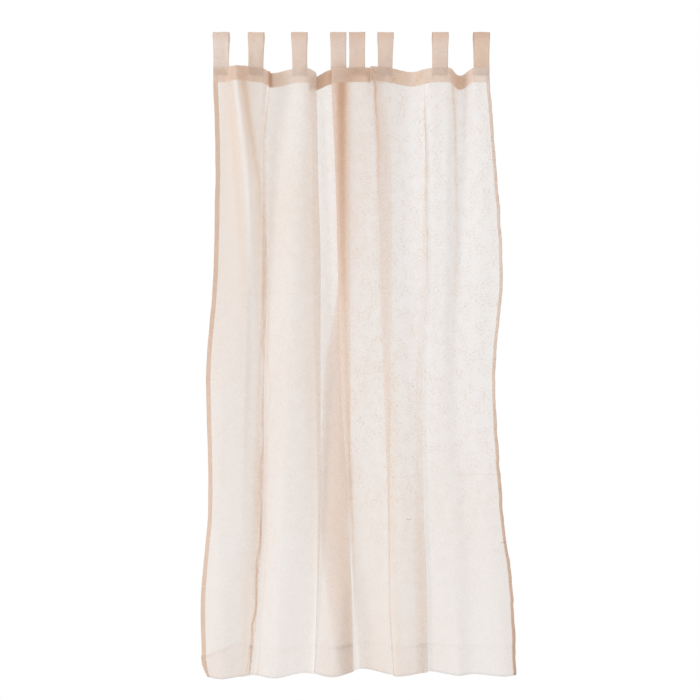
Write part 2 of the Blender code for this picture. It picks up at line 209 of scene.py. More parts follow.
# The painted soft shades along the folds: bands as above, with the plies that each one adds to
# darken the cloth or takes away to lighten it
SHADE_BANDS = (
    ("left panel", (3.5, 5.5), (-190,) * 5, 110, (0, 0.1, 0.1, -0.15, -0.35)),
    ("left panel's right edge", (3.5, 5.5), (-138, -136, -130, -130, -130), 24, (0.2, 0.1, 0.1, 0, 0)),
    ("roll", (9, 17), (-36, -34, -24, -20, -20), 30, (1.7, 0.8, 0, 0, 0)),
    ("middle panel", (15.5, 17.5), (15,) * 5, 50, (0.7, 0.2, 0, 0, 0)),
    ("first hollow", (0, 1.5), (-352, -350, -340, -340, -340), 26, (0.5, 0.25, 0, 0, 0)),
    ("lower recess", (7.5, 9.5), (-60,) * 5, 60, (0, 0, 0, 0.1, 0.25)),
    ("first panel", (0, 1.5), (-430,) * 5, 60, (0, 0.8, 0.5, 0.1, 0)),
    ("first panel's middle", (0, 1.5), (-385, -378, -370, -370, -370), 30, (0.3, 0.9, 0.6, 0.1, 0)),
    ("beside the first fold", (0, 3), (-282, -300, -306, -322, -356), 22, (0, 0, 0.1, 0.05, 0.05)),
    ("behind the first fold", (1.5, 3.5), (-300, -300, -310, -325, -350), 60, (0, 0, -0.3, -0.4, -0.4)),
    ("behind the last fold", (21.5, 23.5),
     (250, 255, 245, 245, 260), 60, (-0.2, -0.3, -0.45, -0.55, -0.55)),
    ("front panel", (19.5, 21.5), (120, 130, 140, 140, 140), 30, (0.5, 0.25, 0.1, 0, 0)),
    ("right hollow", (23.5, 25), (335, 352, 322, 300, 300), 26, (0.45, 0.6, 0.45, 0.15, 0)),
    ("right panel's left side", (23.5, 25), (290, 290, 282, 280, 280), 16, (0.35, 0.3, 0.15, 0, 0)),
)

# The threads pulled out of the cloth: depth below the top edge, place across, length along the
# cloth and how far the middle dips, in metres. They lie in the layers in front of a fold place.
PULLED_THREADS = (
    (1.62, 0.512, 0.02, 0.001),
    (1.536, 0.188, 0.018, 0.004),
)
PULLED_FROM = 19.6

# The fold lines that lie hidden, whose ends show softly through the layers in front
HIDDEN_LINES = (2, 4, 6, 7, 9, 12)
SHOWN_LINES = (1, 3, 5, 8, 10, 11)
SHOWN_FADES = ((0.85, 0.016), (0.6, 0.008), (0.7, 0.01), (0.5, 0.008), (0.6, 0.008), (0.6, 0.01))

# How finely the cloth is drawn
LINE_STEP = 0.0015
DEEPEST_SHARE = 3.0
SHARE_STEPS = 14
SHARE_LEVELS = 24
LEAST_COLUMN = 0.0006
TINY = 1e-6
HEM_COLUMNS = (0, 0.33, 0.66, 0.985)
TURNED_COLUMNS = (0.12, 0.5, 0.98, 1, 0.5, 0.0)
TOP_ROWS = (0.0, 0.004, 0.012, 0.027, 0.04)
FACING_ROWS = (0.0004, 0.006, 0.014, 0.022, 0.030, 0.038, 0.046)
LOOP_COLUMNS = 17
LOOP_ARC_STEPS = 24
LOOP_LEG_STEPS = 10

# The edges of the panel, in metres: how far the lower left corner slants in, with the height and
# width that it does so over; the knot above it, with its height above the end and its own height;
# the ripples of both edges, and how far they and the puckers of the hems reach in
CORNER_SLANT = (0.014, 0.065, 0.035)
HEM_KNOT = (0.003, 0.06, 0.012)
RIGHT_RIPPLE = 0.003
LEFT_RIPPLE = 0.0016
EDGE_REACH = 0.02

# Where the turned bottom hem rises behind the face and where it falls: height, place and reach
HEM_LIFTS = ((0.018, 0.13, 0.04), (-0.03, 0, 0.05))

# The dents of the cloth, as waves per metre across and down with a seed, and their heights beside
# the crumple: wide ones, small ones, puckers along the side hems and along the bottom hem's seam
DENT_WAVES = ((16, 3.2, 1.7), (48, 17, 5.3), (20, 42, 9.1), (46, 9, 3.9))
DENT_HEIGHTS = (1.3, 0.35, 0.8, 0.6)

# The depths by which the dents have grown and the sags have gone, in metres, and how far a raised
# crease fades out to its sides and at its ends, in millimetres
DENTS_GROWN = 0.15
SAGS_FADED = 0.4
CREASE_SIDES = 7
CREASE_ENDS = 20

# The weave's uneven threads and patches: waves per metre across and down, and their fineness
WEFT = (70, 620, 1)
WARP = (620, 55, 1)
CLOUDS = (28, 22, 2)
FLECKS = (110, 250, 2)
CREASE_DRIFT = (6, 1.5, 2)
CREASE_STRENGTH = (11, 2.5, 1)
PATCHES = (7, 3, 2)
SPOTS = (45, 28, 1)

# The flecks and fine creases: the levels that they begin and end at, where the cloth is dusty
# across and down, and how much they add to the plies and to the tone
FLECK_LEVELS = (0.56, 0.64)
FLECKED_CLOUDS = (0.40, 0.6)
DUSTY_ACROSS = (0.4, 1.2)
DUSTY_DOWN = (0.1, 1.1)
DUSTY_TO = 2.1
CREASED_LEVELS = (0.46, 0.62)
CREASE_LINE = (0.0004, 0.0024)
FLECK_PLIES = 1.2
CREASE_PLIES = 0.5
MARK_TONE = 0.5
PATCH_TONE = 0.4
SPOT_TONE = 0.1
# The tones at the two ends of the ramp: the painted highlight of the palest ridges and the painted shade of
# the deepest recess
HIGHLIGHT_TONE = -0.4
DEEP_SHADE_TONE = 2.0
LIGHT_THROUGH_THREADS = 0.42

# How the threads crowd where the cloth turns away, and thin out towards hidden folds, in metres
CROWDING = 0.3
LEAST_FACING = 0.3
HIDDEN_FADE = (0.85, 0.026)
HIDDEN_APART = 0.03

# Bands that fade within so many millimetres are thin lines: they wander, by so much and in so many
# waves per metre, and they are denser
THIN_LINE = 6
LINE_WANDERS = ((6, 13), (2, 45))
LINE_PLIES = 0.4

# The plies and tones that the heading and the hems add, the share of its plies that a turned side
# hem shows, and the shares that the turned bottom hem shows: least, more at the left and its reach
HEADING_PLIES = 0.6
HEM_PLIES = 0.5
HEM_TONE = 1.3
# Painted shade on the right side hem, darker towards the bottom
RIGHT_HEM_SHADE_TONE = 0.8
BEHIND_PLIES = 0.5
TURNED_PLIES = (0.04, 0.25, 0.1)

# The layers of the heading, as distances behind the panel's face, in metres
LOOP_FRONT = 0.0010
LOOP_BACK = 0.0019
FACING_BACK = 0.0026
FACING_PLIES = 1.6

# The loops: clearance round the rod, thickness, and the heights above the rod's axis where the cloth
# before the rod grows denser and warmer, as painted shade of the rod, and where the crest grows
# denser, with the plies and tones that each one adds
ROD_CLEARANCE = 0.0018
LOOP_THICKNESS = 0.0007
ROD_SHADE_HEIGHTS = (-0.018, 0.012)
CREST = (0.0135, 0.0015)
LOOP_PLIES = 1.15
CREST_PLIES = 1.5
LOOP_SIDE = 0.0025
SIDE_PLIES = 1.2
LOOP_TONE = 0.6
ROD_SHADE_TONE = 0.3
CREST_TONE = 0.9
SIDE_TONE = 0.4

# The stitches: pitch, length, distance from an edge and height over the cloth, in metres
STITCH_PITCH = 0.0042
STITCH_LENGTH = 0.0030
SEAM_INSET = 0.0025
SIDE_SEAM_INSET = 0.002
STITCH_HEIGHT = -0.0003
SEAM_RADIUS = 0.00017
HEM_SEAM_RADIUS = 0.00009
PULLED_RADIUS = 0.0007
PULLED_HEIGHT = -0.0012
PULLED_STEPS = 7


def length_setting(name, description, default):
    """Declare a length for the sidebar."""
    return FloatProperty(name=name, description=description, default=default, unit="LENGTH")


def share_setting(name, description, default):
    """Declare a share of a whole for the sidebar."""
    return FloatProperty(name=name, description=description, default=default, subtype="FACTOR")


def colour_setting(name, description, default):
    """Declare a colour for the sidebar."""
    return FloatVectorProperty(name=name, description=description, default=default, subtype="COLOR")


class CurtainSizes(bpy.types.PropertyGroup):
    """Sizes of the curtain's cloth and of its gathers"""

    cloth_width: length_setting("Cloth width", "Width of the flat panel", 1.5)
    cloth_drop: length_setting("Cloth drop", "Height of the panel below its top edge", 2.07)
    hung_width: length_setting("Hung width", "Width of the gathers on the rod", 0.94)
    side_hem: length_setting("Left hem", "Width of the left side hem", 0.016)
    right_hem: length_setting("Right hem", "Width of the right side hem as it shows", 0.011)
    bottom_hem: length_setting("Bottom hem", "Depth of the turned bottom hem", 0.1)
    heading_depth: length_setting("Heading", "Depth of the heading band", 0.05)
    loop_count: IntProperty(
        name="Loops", description="Number of loops along the top edge", default=8, min=2
    )
    loop_width: length_setting("Loop width", "Width of a loop", 0.056)
    loop_reach: length_setting("Loop reach", "From the rod's axis down to the top edge", 0.103)
    loop_tuck: length_setting("Loop tuck", "How far a loop's ends are sewn in", 0.027)
    rod_diameter: length_setting("Rod", "Diameter of the rod that the loops stand round", 0.028)
    ply_gap: length_setting("Ply gap", "Distance between two plies of a hem", 0.0004)
    crease_softness: length_setting("Fold softness", "How softly the cloth turns at a fold", 0.004)
    crumple: length_setting("Crumple", "Height of the small dents in the cloth", 0.0011)
    column_step: length_setting("Column step", "Spacing of the mesh across the cloth", 0.0034)
    row_step: length_setting("Row step", "Spacing of the mesh down the cloth", 0.0125)


class CurtainColours(bpy.types.PropertyGroup):
    """Colours of the threads, with the painted shade and highlight, and how much light passes between them
    """

    # Painted highlight: the colour of the palest ridges, at tone -0.4
    highlight_thread: colour_setting(
        "Pale thread", "Colour of the threads on the palest ridges, at tone -0.4", (0.99, 0.965, 0.95)
    )
    thread: colour_setting(
        "Thread", "Colour of the sheer cloth's threads, at tone 0", (0.98, 0.935, 0.91)
    )
    # The colour of stacked layers and of the painted warm shade in the folds, at tone 1
    warm_layers_and_shade_thread: colour_setting(
        "Warm thread", "Colour of the threads in the folds, at tone 1", (0.94, 0.79, 0.675)
    )
    # Painted shade: the colour of the deepest recess, at tone 2
    deep_shade_thread: colour_setting(
        "Deep thread", "Colour of the threads in the deepest recess, at tone 2", (0.77, 0.54, 0.39)
    )
    panel_open: share_setting(
        "Panel openness", "Share of the light that passes one ply of the panel", 0.22
    )
    loop_open: share_setting("Loop openness", "Share of the light that passes one ply of a loop", 0.3)
    seam_thread: colour_setting("Seam thread", "Colour of the sewing thread", (0.95, 0.88, 0.82))
    pulled_thread: colour_setting(
        "Pulled thread", "Colour of the threads pulled out of the cloth", (0.62, 0.44, 0.34)
    )


class CurtainStage(bpy.types.PropertyGroup):
    """The studio round the curtain"""

    camera_distance: length_setting("Camera distance", "From the rod's plane to the camera", 3.3)
    frame_width: length_setting("Frame width", "Width of the picture at the curtain", 2.38)
    camera_height: length_setting("Camera height", "Height of the camera, from the rod", -1.0642)
    floor_height: length_setting("Floor height", "Height of the floor, from the rod", -2.42)
    surround: FloatProperty(
        name="Surround light", description="Strength of the light from all round", default=0.765
    )
    key_watts: FloatProperty(
        name="Key lamp", description="Power of the large soft lamp, in watts", default=110.0
    )
    fill_watts: FloatProperty(
        name="Fill lamp", description="Power of the soft lamp on the other side, in watts", default=8.0
    )


def level_of(sizes, below):
    """Give the level in the tables that lies this far below the heading."""
    return FOLD_LEVELS[-1] * below / (sizes.cloth_drop - sizes.heading_depth)


def waver(place, seed):
    """Give a smooth random value from -1 to 1."""
    return noise.noise(Vector((place, seed, 0.4)))


def monotone(places, values, at):
    """Read a cubic through the points that never overshoots them."""
    places = np.asarray(places, float)
    values = np.asarray(values, float)
    at = np.clip(at, places[0], places[-1])
    run = np.diff(places)
    slope = np.diff(values) / run
    tangent = np.zeros(len(values))
    tangent[0] = slope[0]
    tangent[-1] = slope[-1]
    for i in range(1, len(values) - 1):
        if slope[i - 1] * slope[i] > 0:
            before = 2 * run[i] + run[i - 1]
            after = run[i] + 2 * run[i - 1]
            tangent[i] = (before + after) / (before / slope[i - 1] + after / slope[i])
    k = np.clip(np.searchsorted(places, at, side="right") - 1, 0, len(run) - 1)
    t = (at - places[k]) / run[k]
    start = values[k] * (1 + 2 * t) + tangent[k] * run[k] * t
    end = values[k + 1] * (3 - 2 * t) - tangent[k + 1] * run[k] * (1 - t)
    return start * (1 - t) ** 2 + end * t ** 2


def softened(points, step, radius):
    """Round the corners of an evenly spaced line with a bell-shaped average."""
    reach = int(3 * radius / step) + 1
    bell = np.exp(-0.5 * (np.arange(-reach, reach + 1) * step / radius) ** 2)
    bell /= bell.sum()
    columns = []
    for values in points.T:
        before = 2 * values[0] - values[reach:0:-1]
        after = 2 * values[-1] - values[-2:-reach - 2:-1]
        columns.append(np.convolve(np.concatenate([before, values, after]), bell, "valid"))
    return np.array(columns).T


def lengths_along(points):
    """Give the distance of each point along its line."""
    return np.concatenate([[0], np.cumsum(np.hypot(*np.diff(points, axis=0).T))])


class Plan:
    """The line of the cloth seen from above at one height below the heading.

    Each point has its fold place: whole numbers are the corners of the folds, counted from the
    left edge, so that the same fold place follows the same fold down the curtain.
    """

    def __init__(self, sizes, below, depth_share):
        spread = sizes.hung_width / (DRAWN_WIDTH * MM)
        level = level_of(sizes, below)
        across = [monotone(FOLD_LEVELS, line[1], level) * spread for line in FOLD_LINES]
        for visible, hidden in PLEATS:
            across[hidden] = across[visible] + (across[hidden] - across[visible]) * depth_share
        mix = monotone(FOLD_LEVELS, LAYER_MIX, level)
        layers = [np.interp(mix, (0, 1, 2), layer) * spread for layer in LAYERS]
        corners = [(across[0], layers[0])]
        for i in range(1, len(layers)):
            corners.append((across[i], layers[i - 1]))
            corners.append((across[i], layers[i]))
        corners.append((across[-1], layers[-1]))
        corners = np.array(corners) * MM
        steps = [max(int(run / LINE_STEP), 2) for run in np.hypot(*np.diff(corners, axis=0).T)]
        samples = np.concatenate([i + np.arange(n) / n for i, n in enumerate(steps)] + [[len(steps)]])
        x = np.interp(samples, np.arange(len(corners)), corners[:, 0])
        forward = np.interp(samples, np.arange(len(corners)), corners[:, 1])
        ridges = [monotone(WAVE_LEVELS, wave[1], level) * spread * MM for wave in WAVES]
        heights = [monotone(WAVE_LEVELS, wave[2], level) * depth_share * spread * MM for wave in WAVES]
        forward = forward + monotone(ridges, heights, x)
        along = lengths_along(np.array([x, forward]).T)
        turns = along[np.cumsum([0] + steps)] + np.arange(len(corners)) * TINY
        even = np.linspace(0, along[-1], int(along[-1] / LINE_STEP) + 1)
        line = np.array([np.interp(even, along, x), np.interp(even, along, forward)]).T
        self.line = softened(line, even[1], sizes.crease_softness)
        self.places = np.interp(even, turns, np.arange(len(corners)))
        self.along = lengths_along(self.line)
        self.length = self.along[-1]

    def at(self, along):
        """Give the place across, the place in depth and the unit normal that points back."""
        x = np.interp(along, self.along, self.line[:, 0])
        y = -np.interp(along, self.along, self.line[:, 1])
        ahead = np.clip(along + 2 * LINE_STEP, 0, self.length)
        behind = np.clip(along - 2 * LINE_STEP, 0, self.length)
        ends = [np.interp(value, self.along, axis) for axis in self.line.T for value in (behind, ahead)]
        run_x = ends[1] - ends[0]
        run_y = ends[2] - ends[3]
        size = np.hypot(run_x, run_y)
        return x, y, -run_y / size, run_x / size


def loop_centres(sizes):
    """Give the place of each loop along the flat top edge."""
    pitch = (sizes.cloth_width - sizes.loop_width) / (sizes.loop_count - 1)
    return [sizes.loop_width / 2 + i * pitch for i in range(sizes.loop_count)]


def sags_at(sizes, along, depth):
    """Give how far the cloth sags between its loops, less and less down the panel."""
    fade = max(1 - depth / SAGS_FADED, 0)
    centres = loop_centres(sizes)
    sags = np.zeros(len(along))
    for i, sag in enumerate(HEADING_SAGS[:sizes.loop_count - 1]):
        start = centres[i] + sizes.loop_width / 2
        end = centres[i + 1] - sizes.loop_width / 2
        inside = (along > start) & (along < end)
        sags[inside] = fade * sag * np.sin(math.pi * (along[inside] - start) / (end - start)) ** 2
    return sags


class HungCloth:
    """The cloth as it hangs, at any length along it and depth below its top edge."""

    def __init__(self, sizes):
        self.sizes = sizes
        drop = sizes.cloth_drop - sizes.heading_depth
        self.levels = np.linspace(0, drop, SHARE_LEVELS)
        self.shares = [self.share_at(below) for below in self.levels]
        self.top = self.plan(0)
        samples = [self.plan(depth) for depth in np.linspace(0, sizes.cloth_drop, 9)]
        fine = self.top.places
        mean = np.mean([np.interp(fine, plan.places, plan.along) for plan in samples], axis=0)
        bare = sizes.cloth_width - sizes.side_hem - sizes.right_hem
        inner = sizes.side_hem + np.linspace(0, bare, int(bare / sizes.column_step) + 1)
        self.places = np.interp(inner, mean, fine)

    def share_at(self, below):
        """Find the depth of folds that uses up the flat width at this height."""
        low = 0.0
        high = DEEPEST_SHARE
        for _ in range(SHARE_STEPS):
            share = (low + high) / 2
            if Plan(self.sizes, below, share).length < self.sizes.cloth_width:
                low = share
            else:
                high = share
        return share

    def plan(self, depth):
        """Give the cloth's line at this depth below the top edge."""
        below = max(depth - self.sizes.heading_depth, 0)
        return Plan(self.sizes, below, float(monotone(self.levels, self.shares, below)))

    def columns(self, plan):
        """Give the face's columns at this plan, as lengths along the cloth."""
        left = self.sizes.side_hem
        right = self.sizes.right_hem
        inner = np.interp(self.places, plan.places, plan.along)
        inner[0] = left
        for i in range(1, len(inner)):
            inner[i] = max(inner[i], inner[i - 1] + LEAST_COLUMN)
        inner[-1] = plan.length - right
        for i in range(len(inner) - 2, 0, -1):
            inner[i] = min(inner[i], inner[i + 1] - LEAST_COLUMN)
        edge = np.array(HEM_COLUMNS)
        return np.concatenate([edge * left, inner, plan.length - edge[::-1] * right])

    def points(self, plan, along, depth, back, rough=True):
        """Give the points of one row, set back from the face by so much."""
        x, y, back_x, back_y = plan.at(along)
        z = -self.sizes.loop_reach - depth - sags_at(self.sizes, along, depth)
        offset = back + (self.dents(plan, along, depth, x) if rough else 0.0)
        above_end = self.sizes.cloth_drop - depth
        slant, high, wide = CORNER_SLANT
        low = min(max(1 - above_end / high, 0), 1)
        x = x + slant * low ** 2 * np.exp(-along / wide)
        bulge, middle, high = HEM_KNOT
        knot = math.exp(-((above_end - middle) / high) ** 2)
        x = x - bulge * knot * np.exp(-along / EDGE_REACH)
        ripple = waver(depth * 17, 3.0) + 0.6 * waver(depth * 52, 7.0)
        x = x + RIGHT_RIPPLE * ripple * np.exp(-(plan.length - along) / EDGE_REACH)
        x = x + LEFT_RIPPLE * waver(depth * 12, 5.0) * np.exp(-along / EDGE_REACH)
        return np.array([x + offset * back_x, y + offset * back_y, z]).T

    def dents(self, plan, along, depth, x):
        """Give the small dents, puckers and creases of the cloth, backwards from its plan."""
        crumple = self.sizes.crumple
        to_edge = np.minimum(along, plan.length - along)
        to_hem = abs(self.sizes.cloth_drop - self.sizes.bottom_hem - depth)
        below = max(depth - self.sizes.heading_depth, 0)
        grown = min(below / DENTS_GROWN, 1)
        for_wide, for_small, for_side, for_seam = DENT_HEIGHTS
        dents = np.zeros(len(along))
        for i, (a, e) in enumerate(zip(along, to_edge)):
            wide, small, side, seam = (
                noise.noise(Vector((a * across, depth * down, seed))) for across, down, seed in DENT_WAVES
            )
            dents[i] = grown * crumple * (for_wide * wide + for_small * small)
            dents[i] += crumple * for_side * side * math.exp(-e / EDGE_REACH)
            dents[i] += crumple * for_seam * seam * math.exp(-to_hem / EDGE_REACH)
        for low, start, end, tilt, height in CREASES:
            share = np.clip((x / MM - start) / (end - start), 0, 1)
            near = depth / MM - low - tilt * share
            fade = np.clip(np.minimum(x / MM - start, end - x / MM) / CREASE_ENDS, 0, 1)
            dents += fade * height * MM * np.exp(-(near / CREASE_SIDES) ** 2)
        return dents


def sheet_grid(name, rows, uvs, crowding, tones):
    """Add a grid, move its corners to these rows, from the lowest, and lay its weave on it."""
    bpy.ops.object.select_all(action="DESELECT")
    count = len(rows[0])
    bpy.ops.mesh.primitive_grid_add(x_subdivisions=count - 1, y_subdivisions=len(rows) - 1, size=1)
    sheet = bpy.context.active_object
    sheet.name = name
    mesh = sheet.data
    mesh.name = name
    mesh.vertices.foreach_set("co", np.concatenate(rows).astype(np.float32).ravel())
    weave = mesh.uv_layers[0]
    weave.name = "weave"
    corners = np.zeros(len(mesh.loops), int)
    mesh.loops.foreach_get("vertex_index", corners)
    flat = np.concatenate(uvs).astype(np.float32)
    weave.data.foreach_set("uv", flat[corners].ravel())
    # The crowding and tone attributes carry painted shade and highlights along with the cloth's plies and
    # warmth
    for label, values in (("crowding", crowding), ("tone", tones)):
        layer = mesh.attributes.new(label, "FLOAT", "POINT")
        layer.data.foreach_set("value", np.concatenate(values).astype(np.float32))
    mesh.shade_smooth()
    mesh.update()
    return sheet


def weave_row(along, down):
    """Give a row's places in the weave, in metres across and down the flat cloth."""
    return np.array([along, np.full(len(along), down)]).T


def add_node(tree, kind, numbers=None, **settings):
    """Add a shader node with these settings, and these numbers on its sockets."""
    node = tree.nodes.new(kind)
    for name, value in settings.items():
        setattr(node, name, value)
    for name, value in (numbers or {}).items():
        node.inputs[name].default_value = value
    return node


def woven_finish(name, colours, openness, slub, bump_height):
    """Make a sheer woven finish: light passes between the threads, and the threads glow."""
    finish = bpy.data.materials.new(name)
    finish.use_nodes = True
    tree = finish.node_tree
    tree.nodes.clear()
    link = tree.links.new
    add = partial(add_node, tree)

    def maths(operation, first, second):
        node = add("ShaderNodeMath", operation=operation)
        for socket, value in zip(node.inputs, (first, second)):
            if isinstance(value, (int, float)):
                socket.default_value = value
            else:
                link(value, socket)
        return node.outputs[0]

    def streaks(across, down, detail):
        scale = add("ShaderNodeVectorMath", operation="MULTIPLY")
        link(weave.outputs["UV"], scale.inputs[0])
        scale.inputs[1].default_value = (across, down, 1)
        clouds = add("ShaderNodeTexNoise", {"Scale": 1, "Detail": detail}, noise_dimensions="2D")
        link(scale.outputs[0], clouds.inputs["Vector"])
        return clouds.outputs["Fac"]

    def eased(value, low, high):
        ramp = add(
            "ShaderNodeMapRange", {"From Min": low, "From Max": high}, interpolation_type="SMOOTHSTEP"
        )
        link(value, ramp.inputs["Value"])
        return ramp.outputs[0]

    weave = add("ShaderNodeUVMap", uv_map="weave")
    crowding = add("ShaderNodeAttribute", attribute_name="crowding")
    tone = add("ShaderNodeAttribute", attribute_name="tone")
    place = add("ShaderNodeSeparateXYZ")
    link(weave.outputs["UV"], place.inputs[0])
    across = place.outputs["X"]
    down = place.outputs["Y"]
    weft = streaks(*WEFT)
    warp = streaks(*WARP)
    clouds = streaks(*CLOUDS)

    mixed = maths("SUBTRACT", maths("ADD", weft, warp), 1.0)
    blotch = maths("MULTIPLY", maths("SUBTRACT", clouds, 0.5), 0.6)
    uneven = maths("ADD", maths("MULTIPLY", maths("ADD", mixed, blotch), slub), 1.0)

    dusty = maths("ADD", maths("MULTIPLY", eased(across, *DUSTY_ACROSS), 0.9), 0.3)
    dusty = maths("MULTIPLY", dusty, eased(maths("SUBTRACT", DUSTY_TO, down), *DUSTY_DOWN))
    fleck = maths("MULTIPLY", eased(streaks(*FLECKS), *FLECK_LEVELS), eased(clouds, *FLECKED_CLOUDS))
    fleck = maths("MULTIPLY", fleck, dusty)

    drift = maths("MULTIPLY", maths("SUBTRACT", streaks(*CREASE_DRIFT), 0.5), 0.022)
    drifted = maths("ADD", down, drift)
    creased = 0.0
    for depth in SHELF_CREASES:
        away = maths("ABSOLUTE", maths("SUBTRACT", drifted, depth), 0.0)
        creased = maths("ADD", maths("SUBTRACT", 1.0, eased(away, *CREASE_LINE)), creased)
    creased = maths("MULTIPLY", creased, eased(streaks(*CREASE_STRENGTH), *CREASED_LEVELS))

    marks = maths("ADD", maths("MULTIPLY", fleck, FLECK_PLIES), maths("MULTIPLY", creased, CREASE_PLIES))
    # The crowding carries painted shade and painted light along with the plies of the cloth
    plies = maths("MULTIPLY", crowding.outputs["Fac"], maths("ADD", uneven, marks))
    cover = maths("SUBTRACT", 1.0, maths("POWER", openness, plies))

    patches = maths("MULTIPLY", maths("SUBTRACT", streaks(*PATCHES), 0.5), PATCH_TONE)
    spots = maths("MULTIPLY", maths("SUBTRACT", streaks(*SPOTS), 0.5), SPOT_TONE)
    # The tone carries painted shade and highlights along with the cloth's warmth; the patches and spots
    # differ at random
    shade_and_patches = maths("ADD", tone.outputs["Fac"], maths("ADD", patches, spots))
    tone_on_ramp = add("ShaderNodeMapRange", {"From Min": HIGHLIGHT_TONE, "From Max": DEEP_SHADE_TONE})
    link(maths("ADD", shade_and_patches, maths("MULTIPLY", marks, MARK_TONE)), tone_on_ramp.inputs["Value"])
    # The ramp: painted highlight at the palest tone, the thread's own colour at tone 0, stacked layers and
    # painted warm shade at tone 1, and painted deep shade at the deepest tone
    tint = add("ShaderNodeValToRGB")
    stops = tint.color_ramp.elements
    stops[0].color = (*colours.highlight_thread, 1)
    stops[1].color = (*colours.deep_shade_thread, 1)
    for own_tone, colour in ((0.0, colours.thread), (1.0, colours.warm_layers_and_shade_thread)):
        place = (own_tone - HIGHLIGHT_TONE) / (DEEP_SHADE_TONE - HIGHLIGHT_TONE)
        stops.new(place).color = (*colour, 1)
    link(tone_on_ramp.outputs[0], tint.inputs["Fac"])

    bump = add("ShaderNodeBump", {"Strength": 0.5, "Distance": bump_height})
    link(maths("ADD", maths("ADD", weft, warp), clouds), bump.inputs["Height"])
    front = add("ShaderNodeBsdfPrincipled", {
        "Roughness": 0.75,
        "Specular IOR Level": 0.2,
        "Sheen Weight": 0.15,
        "Sheen Roughness": 0.4,
    })
    through = add("ShaderNodeBsdfTranslucent")
    threads = add("ShaderNodeMixShader", {"Fac": LIGHT_THROUGH_THREADS})
    gaps = add("ShaderNodeBsdfTransparent")
    both = add("ShaderNodeMixShader")
    out = add("ShaderNodeOutputMaterial")
    for start, end in (
        (tint.outputs["Color"], front.inputs["Base Color"]),
        (bump.outputs[0], front.inputs["Normal"]),
        (tint.outputs["Color"], through.inputs["Color"]),
        (bump.outputs[0], through.inputs["Normal"]),
        (front.outputs[0], threads.inputs[1]),
        (through.outputs[0], threads.inputs[2]),
        (cover, both.inputs["Fac"]),
        (gaps.outputs[0], both.inputs[1]),
        (threads.outputs[0], both.inputs[2]),
        (both.outputs[0], out.inputs["Surface"]),
    ):
        link(start, end)
    return finish


def crowding_at(plan, along, soft=True):
    """Give how many threads lie one behind another where the cloth turns away from the front.

    The cloth thins out softly towards the folds that lie hidden.
    """
    facing = np.abs(plan.at(along)[3])
    crowding = 1 + CROWDING * (1 / np.maximum(facing, LEAST_FACING) - 1)
    if soft:
        hidden, shown = (
            np.interp([2 * line - 0.5 for line in lines], plan.places, plan.along)
            for lines in (HIDDEN_LINES, SHOWN_LINES)
        )
        thinned, reach = HIDDEN_FADE
        for turn in hidden:
            apart = min(np.abs(shown - turn).min() / HIDDEN_APART, 1)
            crowding *= 1 - thinned * apart * np.exp(-((along - turn) / reach) ** 2)
        for turn, (thinned, reach) in zip(shown, SHOWN_FADES):
            crowding *= 1 - thinned * np.exp(-((along - turn) / reach) ** 2)
    return crowding


class Row:
    """One row of the cloth, in the coordinates of the tables."""

    def __init__(self, sizes, plan, along, depth):
        self.in_heading = depth <= sizes.heading_depth
        self.level = level_of(sizes, max(depth - sizes.heading_depth, 0))
        self.places = np.interp(along, plan.along, plan.places)
        self.x = np.interp(along, plan.along, plan.line[:, 0]) * DRAWN_WIDTH / sizes.hung_width

    def between(self, first, last):
        """Tell which columns lie between two fold places."""
        return (self.places >= first) & (self.places <= last)

    def tabled(self, values):
        """Read a table's values at this row's level."""
        return monotone(TONE_LEVELS, values, self.level)

    def band(self, between, middles, fade, values, wander=0.0):
        """Give a soft band's value at each column."""
        away = (self.x - self.tabled(middles) - wander) / fade
        return self.between(*between) * self.tabled(values) * np.exp(-away ** 2)


def tones_at(sizes, plan, along, depth):
    """Give how warm the cloth looks at each column of a row, with its painted shade and highlights, and how
    much of it is in thin lines.
    """
    row = Row(sizes, plan, along, depth)
    lines = np.zeros(len(along))
    if row.in_heading:
        tones = np.full(len(along), HEADING_TONE)
        for _, between, (middle, fade), value in HEADING_WARMTH_AND_SHADE_BANDS:
            tones += row.between(*between) * value * np.exp(-((row.x - middle) / fade) ** 2)
        return tones, lines
    # The layers hidden behind the panels are painted warmer, as shade
    tones = np.full(len(along), HIDDEN_SHADE_TONE)
    for _, between, values in PANEL_TONES:
        tones[row.between(*between)] = row.tabled(values)
    for name, between, middles, fade, values in WARM_SHADE_AND_HIGHLIGHT_BANDS:
        thin = fade < THIN_LINE
        wander = sum(reach * waver(depth * waves, len(name)) for reach, waves in LINE_WANDERS) * thin
        band = row.band(between, middles, fade, values, wander)
        tones += band
        lines += np.maximum(band, 0) * thin
    # Painted shade on the right side hem, darker towards the bottom
    in_right_hem = along > plan.length - sizes.right_hem - TINY
    tones += RIGHT_HEM_SHADE_TONE * in_right_hem * (row.level / TONE_LEVELS[-1]) ** 2
    return tones, lines


def density_at(sizes, plan, along, depth):
    """Give how many plies the heading and the side hems add, and the recess takes away as painted light."""
    row = Row(sizes, plan, along, depth)
    if row.in_heading:
        return np.full(len(along), HEADING_PLIES)
    in_hems = (along < sizes.side_hem - TINY) | (along > plan.length - sizes.right_hem + TINY)
    # Painted light: the upper recess shows fewer plies than it has, so that it looks lighter than its shade
    thin = (row.places > RECESS[0]) & (row.places < RECESS[1])
    return HEM_PLIES * in_hems + thin * (row.tabled(RECESS_PAINTED_LIGHT_PLIES) - 1)


def shade_at(sizes, plan, along, depth):
    """Give the plies of painted shade that the soft shades add to the cloth below the heading; where they
    take plies away, they paint light.
    """
    row = Row(sizes, plan, along, depth)
    shade = np.zeros(len(along))
    if not row.in_heading:
        for _, between, middles, fade, values in SHADE_BANDS:
            shade += row.band(between, middles, fade, values)
    return shade


